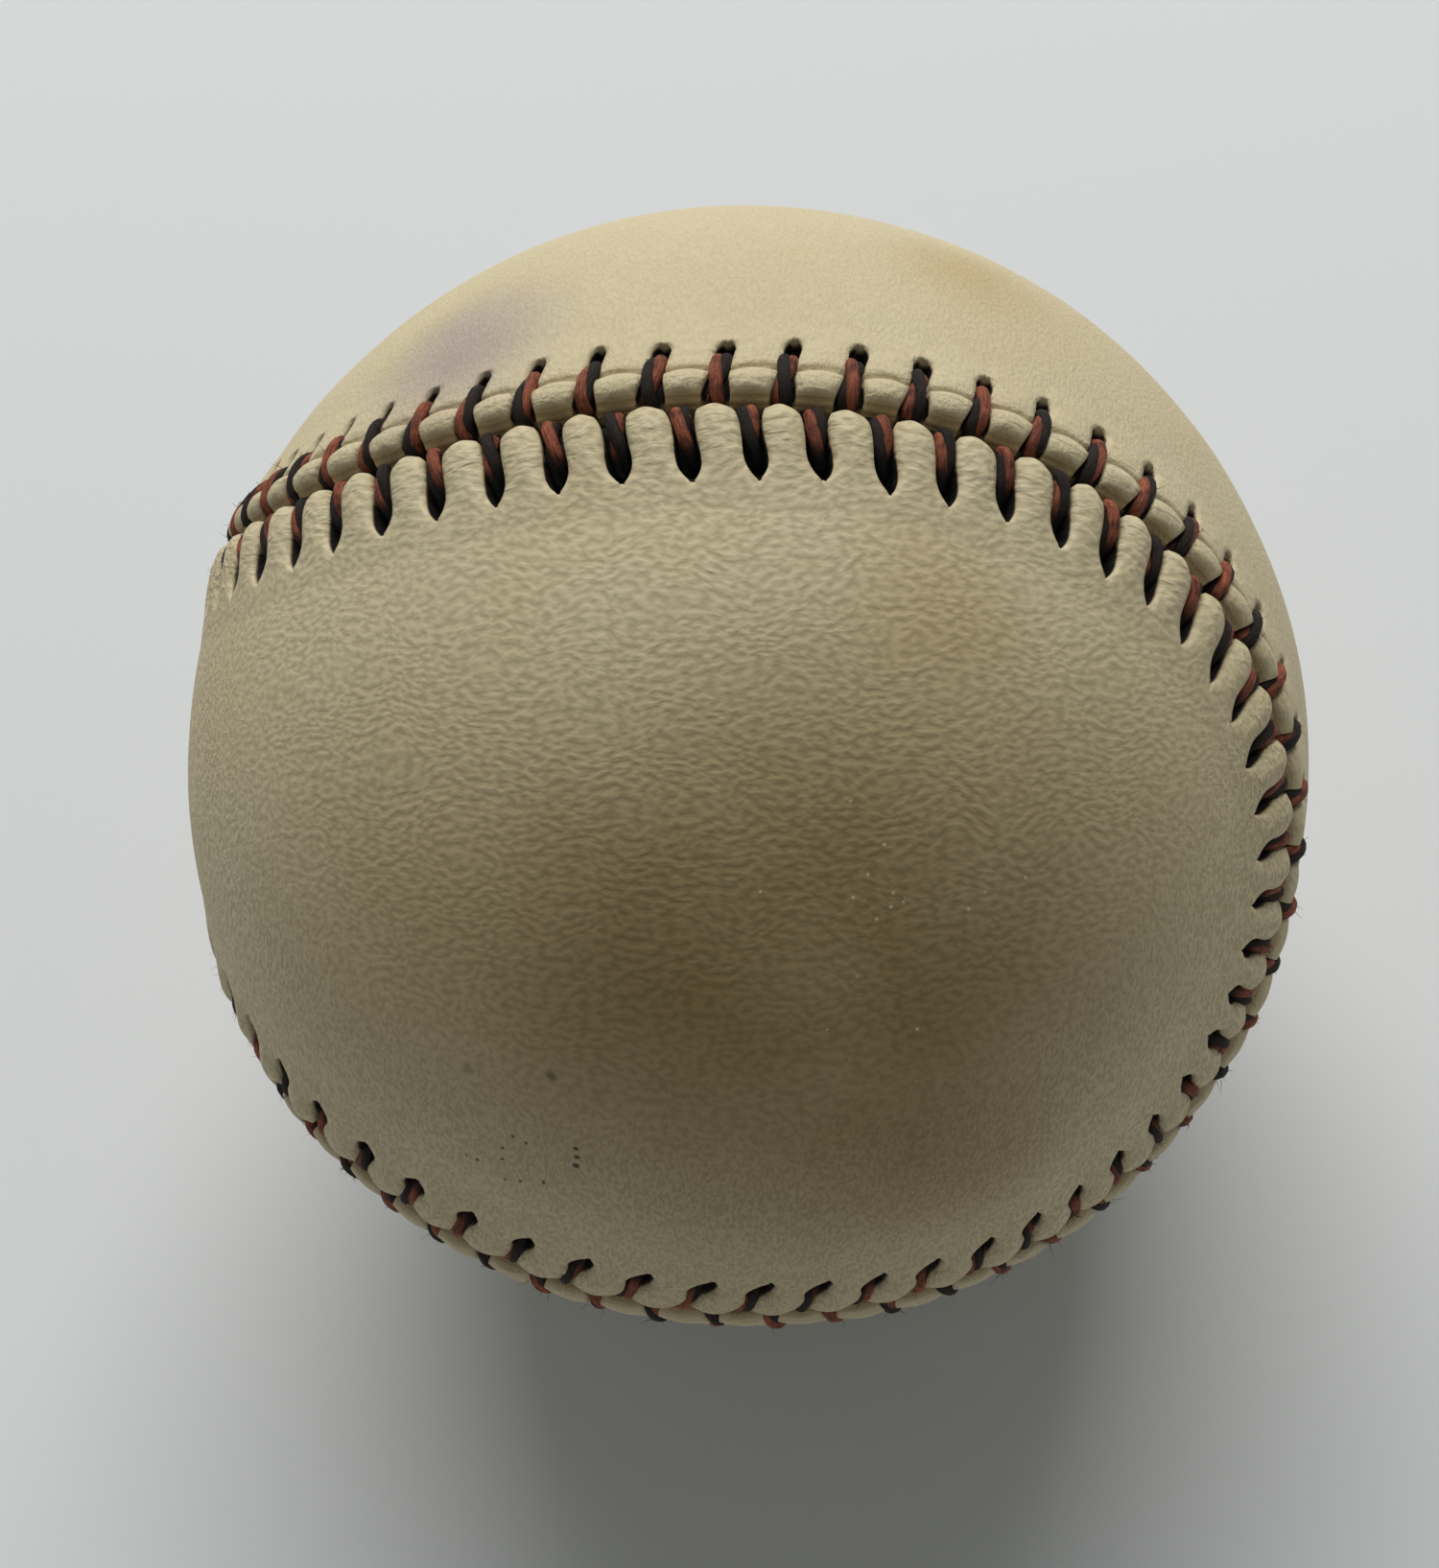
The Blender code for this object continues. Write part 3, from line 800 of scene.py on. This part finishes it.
def laced_edge_colour(tree, place, colour):
    """The colour with slots and holes dark with old wax and painted shade, the deepest black, and the raw
    brown layers of hide on the cut edge, painted lighter to look lit.
    """
    # Old wax and painted shade: slots and holes go brown, then black, the deeper they sink
    soil_and_shade = add(tree, "ShaderNodeAttribute", attribute_name="soil_and_shade").outputs["Fac"]
    rim = add(tree, "ShaderNodeMapRange", {"Value": soil_and_shade, "From Min": 0.3, "From Max": 0.6, "To Max": 0.7})
    colour = add(tree, "ShaderNodeMix", {0: rim.outputs[0], 6: colour, 7: linear("#5a4426")},
                 data_type="RGBA").outputs[2]
    black = add(tree, "ShaderNodeMapRange", {"Value": soil_and_shade, "From Min": 0.5, "From Max": 0.8}).outputs[0]
    colour = add(tree, "ShaderNodeMix", {0: black, 6: colour, 7: linear("#140e0a")},
                 data_type="RGBA").outputs[2]

    depth = add(tree, "ShaderNodeVectorMath", {0: place}, operation="LENGTH").outputs["Value"]
    layers = add(tree, "ShaderNodeTexNoise", {"W": depth, "Scale": per(HIDE_LAYER), "Detail": 1},
                 noise_dimensions="1D").outputs[0]
    # The cut edge's layers of hide, painted lighter than they are so that they look lit in the lip's shade
    hide_painted_lighter = add(tree, "ShaderNodeMix", {0: layers, 6: linear("#8a6f45"), 7: linear("#dcc596")},
               data_type="RGBA").outputs[2]
    cut = add(tree, "ShaderNodeAttribute", attribute_name="cut_edge").outputs["Fac"]
    return add(tree, "ShaderNodeMix", {0: cut, 6: colour, 7: hide_painted_lighter}, data_type="RGBA").outputs[2]


def hide_relief(tree, grain, creased):
    """Relief in millimetres: the grain, and gathers that cross the tongues of the lacing band."""
    lace = add(tree, "ShaderNodeAttribute", attribute_name="lace").outputs["Vector"]
    gathered = add(tree, "ShaderNodeMapping",
                   {"Vector": lace, "Scale": (1 / GATHER_LENGTH, 1 / GATHER_LENGTH, 1 / GATHER_SPACING)})
    gathers = add(tree, "ShaderNodeTexNoise", {"Vector": gathered.outputs[0], "Scale": 1, "Detail": 2,
                                               "Distortion": 0.8}).outputs[0]
    reach = add(tree, "ShaderNodeSeparateXYZ", {0: lace}).outputs["Z"]
    fade = add(tree, "ShaderNodeMapRange", {"Value": reach, "From Min": GATHER_END,
                                            "From Max": GATHER_FULL}).outputs[0]
    gathers = add(tree, "ShaderNodeMath", {0: gathers, 1: fade}, operation="MULTIPLY").outputs[0]
    depth = add(tree, "ShaderNodeMapRange", {"Value": creased, "To Min": PEBBLE_DEPTH,
                                             "To Max": WRINKLE_DEPTH}).outputs[0]
    relief = add(tree, "ShaderNodeMath", {0: grain, 1: depth}, operation="MULTIPLY").outputs[0]
    return add(tree, "ShaderNodeMath", {0: gathers, 1: GATHER_HEIGHT, 2: relief},
               operation="MULTIPLY_ADD").outputs[0]


def tanned_leather(name, wrinkled, pebbled):
    """Alum-tanned horsehide, handled and gone tan: matt, pebbled or finely wrinkled, dirty and painted with
    shade in its folds.
    """
    made, tree, shader = started(name, Specular_IOR_Level=0.3)
    place = add(tree, "ShaderNodeTexCoord").outputs["Object"]
    grain, creased = hide_grain(tree, place, wrinkled, pebbled)
    colour = laced_edge_colour(tree, place, aged_colour(tree, place, grain, pebbled))
    tree.links.new(colour, shader.inputs["Base Color"])
    rough = add(tree, "ShaderNodeMapRange", {"Value": grain, "From Min": 0.35, "From Max": 0.65,
                                             "To Min": 0.72, "To Max": 0.58}).outputs[0]
    tree.links.new(rough, shader.inputs["Roughness"])
    relief = hide_relief(tree, grain, creased)
    bump = add(tree, "ShaderNodeBump", {"Height": relief, "Strength": 1, "Distance": MM})
    tree.links.new(bump.outputs[0], shader.inputs["Normal"])
    return made


def spun_yarn(name, light, dark, fibre, roughness, sheen):
    """Spun fibre, waxed or woolly: strands that wind round it, grimy in places, and painted black with shade
    and dirt where it is sunk.
    """
    made, tree, shader = started(name, Roughness=roughness, Specular_IOR_Level=0.2, Sheen_Weight=sheen)
    threadwise = add(tree, "ShaderNodeUVMap", uv_map="threadwise").outputs[0]
    scaled = add(tree, "ShaderNodeMapping", {"Vector": threadwise, "Scale": (per(fibre), STRANDS_ROUND, 1),
                                             "Rotation": (0, 0, STRAND_TWIST)}).outputs[0]
    strands = add(tree, "ShaderNodeTexNoise", {"Vector": scaled, "Scale": 1, "Detail": 3}).outputs[0]
    place = add(tree, "ShaderNodeTexCoord").outputs["Object"]
    grime = add(tree, "ShaderNodeTexNoise", {"Vector": place, "Scale": per(fibre), "Detail": 2}).outputs[0]
    mixed = add(tree, "ShaderNodeMath", {0: strands, 1: grime}, operation="ADD").outputs[0]
    share = add(tree, "ShaderNodeMapRange", {"Value": mixed, "From Min": 0.72, "From Max": 1.22}).outputs[0]
    colour = add(tree, "ShaderNodeMix", {0: share, 6: linear(dark), 7: linear(light)},
                 data_type="RGBA").outputs[2]
    # Dirt and painted shade: black where the yarn sinks into the ball
    soil_and_shade = add(tree, "ShaderNodeAttribute", attribute_name="soil_and_shade").outputs["Fac"]
    colour = add(tree, "ShaderNodeMix", {0: soil_and_shade, 6: colour, 7: linear("#0b0908")},
                 data_type="RGBA").outputs[2]
    tree.links.new(colour, shader.inputs["Base Color"])
    bump = add(tree, "ShaderNodeBump", {"Height": strands, "Strength": 1, "Distance": 0.2 * fibre * MM})
    tree.links.new(bump.outputs[0], shader.inputs["Normal"])
    return made


def pressed_cork():
    """Ground cork: pressed granules in several browns, with dark gaps between them."""
    made, tree, shader = started("pressed_cork", Roughness=0.9, Specular_IOR_Level=0.2)
    place = add(tree, "ShaderNodeTexCoord").outputs["Object"]
    granules = add(tree, "ShaderNodeTexVoronoi", {"Vector": place, "Scale": per(CORK_GRANULE)})
    tone = add(tree, "ShaderNodeSeparateXYZ", {0: granules.outputs["Color"]}).outputs[0]
    speckle = add(tree, "ShaderNodeTexNoise", {"Vector": place, "Scale": per(0.5), "Detail": 3}).outputs[0]
    tone = add(tree, "ShaderNodeMath", {0: tone, 1: speckle}, operation="MULTIPLY").outputs[0]
    colour = add(tree, "ShaderNodeMix", {0: tone, 6: linear("#8a5f38"), 7: linear("#d8b27c")},
                 data_type="RGBA").outputs[2]
    rims = add(tree, "ShaderNodeTexVoronoi", {"Vector": place, "Scale": per(CORK_GRANULE)},
               feature="DISTANCE_TO_EDGE").outputs[0]
    body = add(tree, "ShaderNodeMapRange", {"Value": rims, "From Max": 0.12}).outputs[0]
    colour = add(tree, "ShaderNodeMix", {0: body, 6: linear("#4d3520"), 7: colour},
                 data_type="RGBA").outputs[2]
    tree.links.new(colour, shader.inputs["Base Color"])
    bump = add(tree, "ShaderNodeBump", {"Height": body, "Strength": 0.7, "Distance": 0.3 * MM})
    tree.links.new(bump.outputs[0], shader.inputs["Normal"])
    return made


def moulded_rubber(name, bare, bloom):
    """Moulded rubber: matt, with a dusty bloom and the fine skin that the mould left."""
    made, tree, shader = started(name, Specular_IOR_Level=0.4)
    place = add(tree, "ShaderNodeTexCoord").outputs["Object"]
    dust = add(tree, "ShaderNodeTexNoise", {"Vector": place, "Scale": per(5), "Detail": 5}).outputs[0]
    share = add(tree, "ShaderNodeMapRange", {"Value": dust, "From Min": 0.4, "From Max": 0.7}).outputs[0]
    colour = add(tree, "ShaderNodeMix", {0: share, 6: linear(bare), 7: linear(bloom)},
                 data_type="RGBA").outputs[2]
    tree.links.new(colour, shader.inputs["Base Color"])
    rough = add(tree, "ShaderNodeMapRange", {"Value": share, "To Min": 0.45, "To Max": 0.75}).outputs[0]
    tree.links.new(rough, shader.inputs["Roughness"])
    skin = add(tree, "ShaderNodeTexNoise", {"Vector": place, "Scale": per(0.4), "Detail": 2}).outputs[0]
    bump = add(tree, "ShaderNodeBump", {"Height": skin, "Strength": 0.5, "Distance": 0.05 * MM})
    tree.links.new(bump.outputs[0], shader.inputs["Normal"])
    return made


def paper_floor():
    """A plain pale floor of matt paper under the ball."""
    bm = bmesh.new()
    bmesh.ops.create_grid(bm, x_segments=1, y_segments=1, size=FLOOR_HALF * MM)
    lowest = min(corner[2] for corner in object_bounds())
    bmesh.ops.translate(bm, verts=bm.verts[:], vec=(0, 0, lowest - FLOOR_GAP * MM))
    mesh = bpy.data.meshes.new("floor")
    bm.to_mesh(mesh)
    bm.free()
    paper = started("pale_paper", Roughness=0.9, Base_Color=linear("#dadbda"))[0]
    mesh.materials.append(paper)
    floor = bpy.data.objects.new("floor", mesh)
    bpy.context.scene.collection.objects.link(floor)
    floor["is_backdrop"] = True


def window_and_room():
    """Soft light from above and behind, and a pale room, dimmer as light than where it is mirrored."""
    lamp = bpy.data.lights.new("window", "AREA")
    lamp.shape = "RECTANGLE"
    lamp.size, lamp.size_y = WINDOW_WIDTH * MM, WINDOW_HEIGHT * MM
    lamp.energy = WINDOW_POWER
    light = bpy.data.objects.new("window", lamp)
    light.location = Vector(WINDOW_AT) * MM
    light.rotation_euler = (-light.location).to_track_quat("-Z", "Y").to_euler()
    bpy.context.scene.collection.objects.link(light)

    world = bpy.data.worlds.new("room")
    bpy.context.scene.world = world
    world.use_nodes = True
    tree = world.node_tree
    sky = tree.nodes["Background"]
    sky.inputs["Color"].default_value = linear("#e4ebef")
    rays = add(tree, "ShaderNodeLightPath").outputs
    seen = add(tree, "ShaderNodeMath", {0: rays["Is Camera Ray"], 1: rays["Is Glossy Ray"]},
               operation="MAXIMUM").outputs[0]
    seen = add(tree, "ShaderNodeMath", {0: seen, 1: rays["Is Transmission Ray"]},
               operation="MAXIMUM").outputs[0]
    level = add(tree, "ShaderNodeMapRange", {"Value": seen, "To Min": ROOM_LIGHT, "To Max": ROOM_SEEN})
    tree.links.new(level.outputs[0], sky.inputs["Strength"])


def photo_camera():
    """The photograph's camera."""
    lens = bpy.data.cameras.new("camera")
    lens.sensor_fit = "HORIZONTAL"
    lens.sensor_width = SENSOR_WIDTH
    lens.lens = FOCAL_PIXELS / PHOTO_WIDTH * SENSOR_WIDTH
    lens.clip_start = MM
    camera = bpy.data.objects.new("camera", lens)
    camera.matrix_world = camera_matrix()
    bpy.context.scene.collection.objects.link(camera)
    bpy.context.scene.camera = camera
    bpy.context.scene.view_settings.view_transform = "Standard"


worn_leather = tanned_leather("worn_horsehide", wrinkled=1, pebbled=0.36)
smooth_leather = tanned_leather("smooth_horsehide", wrinkled=0, pebbled=0.18)
red_ply = spun_yarn("red_waxed_cotton", "#9a573d", "#45221a", fibre=0.75, roughness=0.72, sheen=0)
black_ply = spun_yarn("black_waxed_cotton", "#2a211b", "#100b08", fibre=0.75, roughness=0.78, sheen=0)
gray_wool = spun_yarn("gray_wool", "#9a978f", "#5d5a55", fibre=1.2, roughness=0.95, sheen=0.3)
white_wool = spun_yarn("white_wool", "#ddd6c4", "#a89f8a", fibre=1.2, roughness=0.95, sheen=0.3)
white_cotton = spun_yarn("white_cotton", "#e2dac4", "#b5aa90", fibre=0.6, roughness=0.85, sheen=0.1)
cork = pressed_cork()
black_rubber = moulded_rubber("black_rubber", "#17171a", "#35353a")
red_rubber = moulded_rubber("red_rubber", "#7c2820", "#9d5a4e")

cover_panel("leather_panel_front", "cover_panel_front", FRONT, FRONT_LIP, worn_leather, seed=11)
cover_panel("leather_panel_back", "cover_panel_back", BACK, BACK_LIP, smooth_leather, seed=31)

route = thread_route()
thread_ply("lacing_ply_red", route, red_ply, start=0)
thread_ply("lacing_ply_black", route, black_ply, start=math.pi)
frayed_fibres("frayed_fibres_red", route, red_ply, count=400, seed=3)
frayed_fibres("frayed_fibres_black", route, black_ply, count=500, seed=4)

cork_ball("ground_cork_ball", "cork_core", cork, "cork")
pill_ring("rubber_washer", "pill_washer", "cork_core", red_rubber, "red_rubber")
for end, side in (("right", 1), ("left", -1)):
    black_shell = f"pill_black_shell_{end}"
    pill_shell(f"black_bowl_{end}", black_shell, "cork_core", side, black_rubber, "black_rubber")
    pill_shell(f"red_bowl_{end}", f"pill_red_shell_{end}", black_shell, side, red_rubber, "red_rubber")

# Each winding over the one before, with the thickness of its yarn and its loops
inside = "pill_red_shell_right"
for layer, yarn, loops, finish, slot in (
    ("first_gray_wool", 1.7, 90, gray_wool, "gray_wool"),
    ("white_wool", 1.3, 110, white_wool, "white_wool"),
    ("second_gray_wool", 1.4, 110, gray_wool, "gray_wool"),
    ("white_cotton", 0.6, 200, white_cotton, "white_cotton"),
):
    wound_layer(f"wound_{layer}", f"winding_{layer}", inside, yarn, loops, finish, slot)
    inside = f"winding_{layer}"

paper_floor()
window_and_room()
photo_camera()
